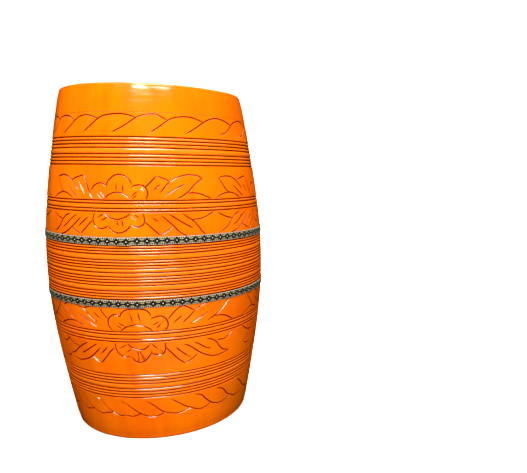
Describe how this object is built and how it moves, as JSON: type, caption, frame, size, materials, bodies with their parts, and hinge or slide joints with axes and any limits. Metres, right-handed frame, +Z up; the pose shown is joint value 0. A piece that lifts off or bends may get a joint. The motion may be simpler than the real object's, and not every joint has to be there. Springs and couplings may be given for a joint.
{
  "type": "dholak",
  "caption": "Bare dholak shell: a hollow wooden barrel, open at both ends, with turned grooves and glued woven ribbons, ready for its heads.",
  "frame": {"origin": "centre of the end that the shell stands on, at floor level", "axes": "+Z up along the barrel's axis, -Y to the front, where the ribbons are lapped"},
  "size_m": [0.2912, 0.2912, 0.44],
  "materials": {
    "lacquered_wood": "clear orange gloss lacquer over turned hardwood, with dark red stain in the cut lines",
    "woven_ribbon": "narrow woven tape, black diamonds on pale gold with white beaded edges"
  },
  "bodies": {
    "root": {"shell": "lacquered_wood", "upper_ribbon": "woven_ribbon", "lower_ribbon": "woven_ribbon"}
  },
  "joints": []
}
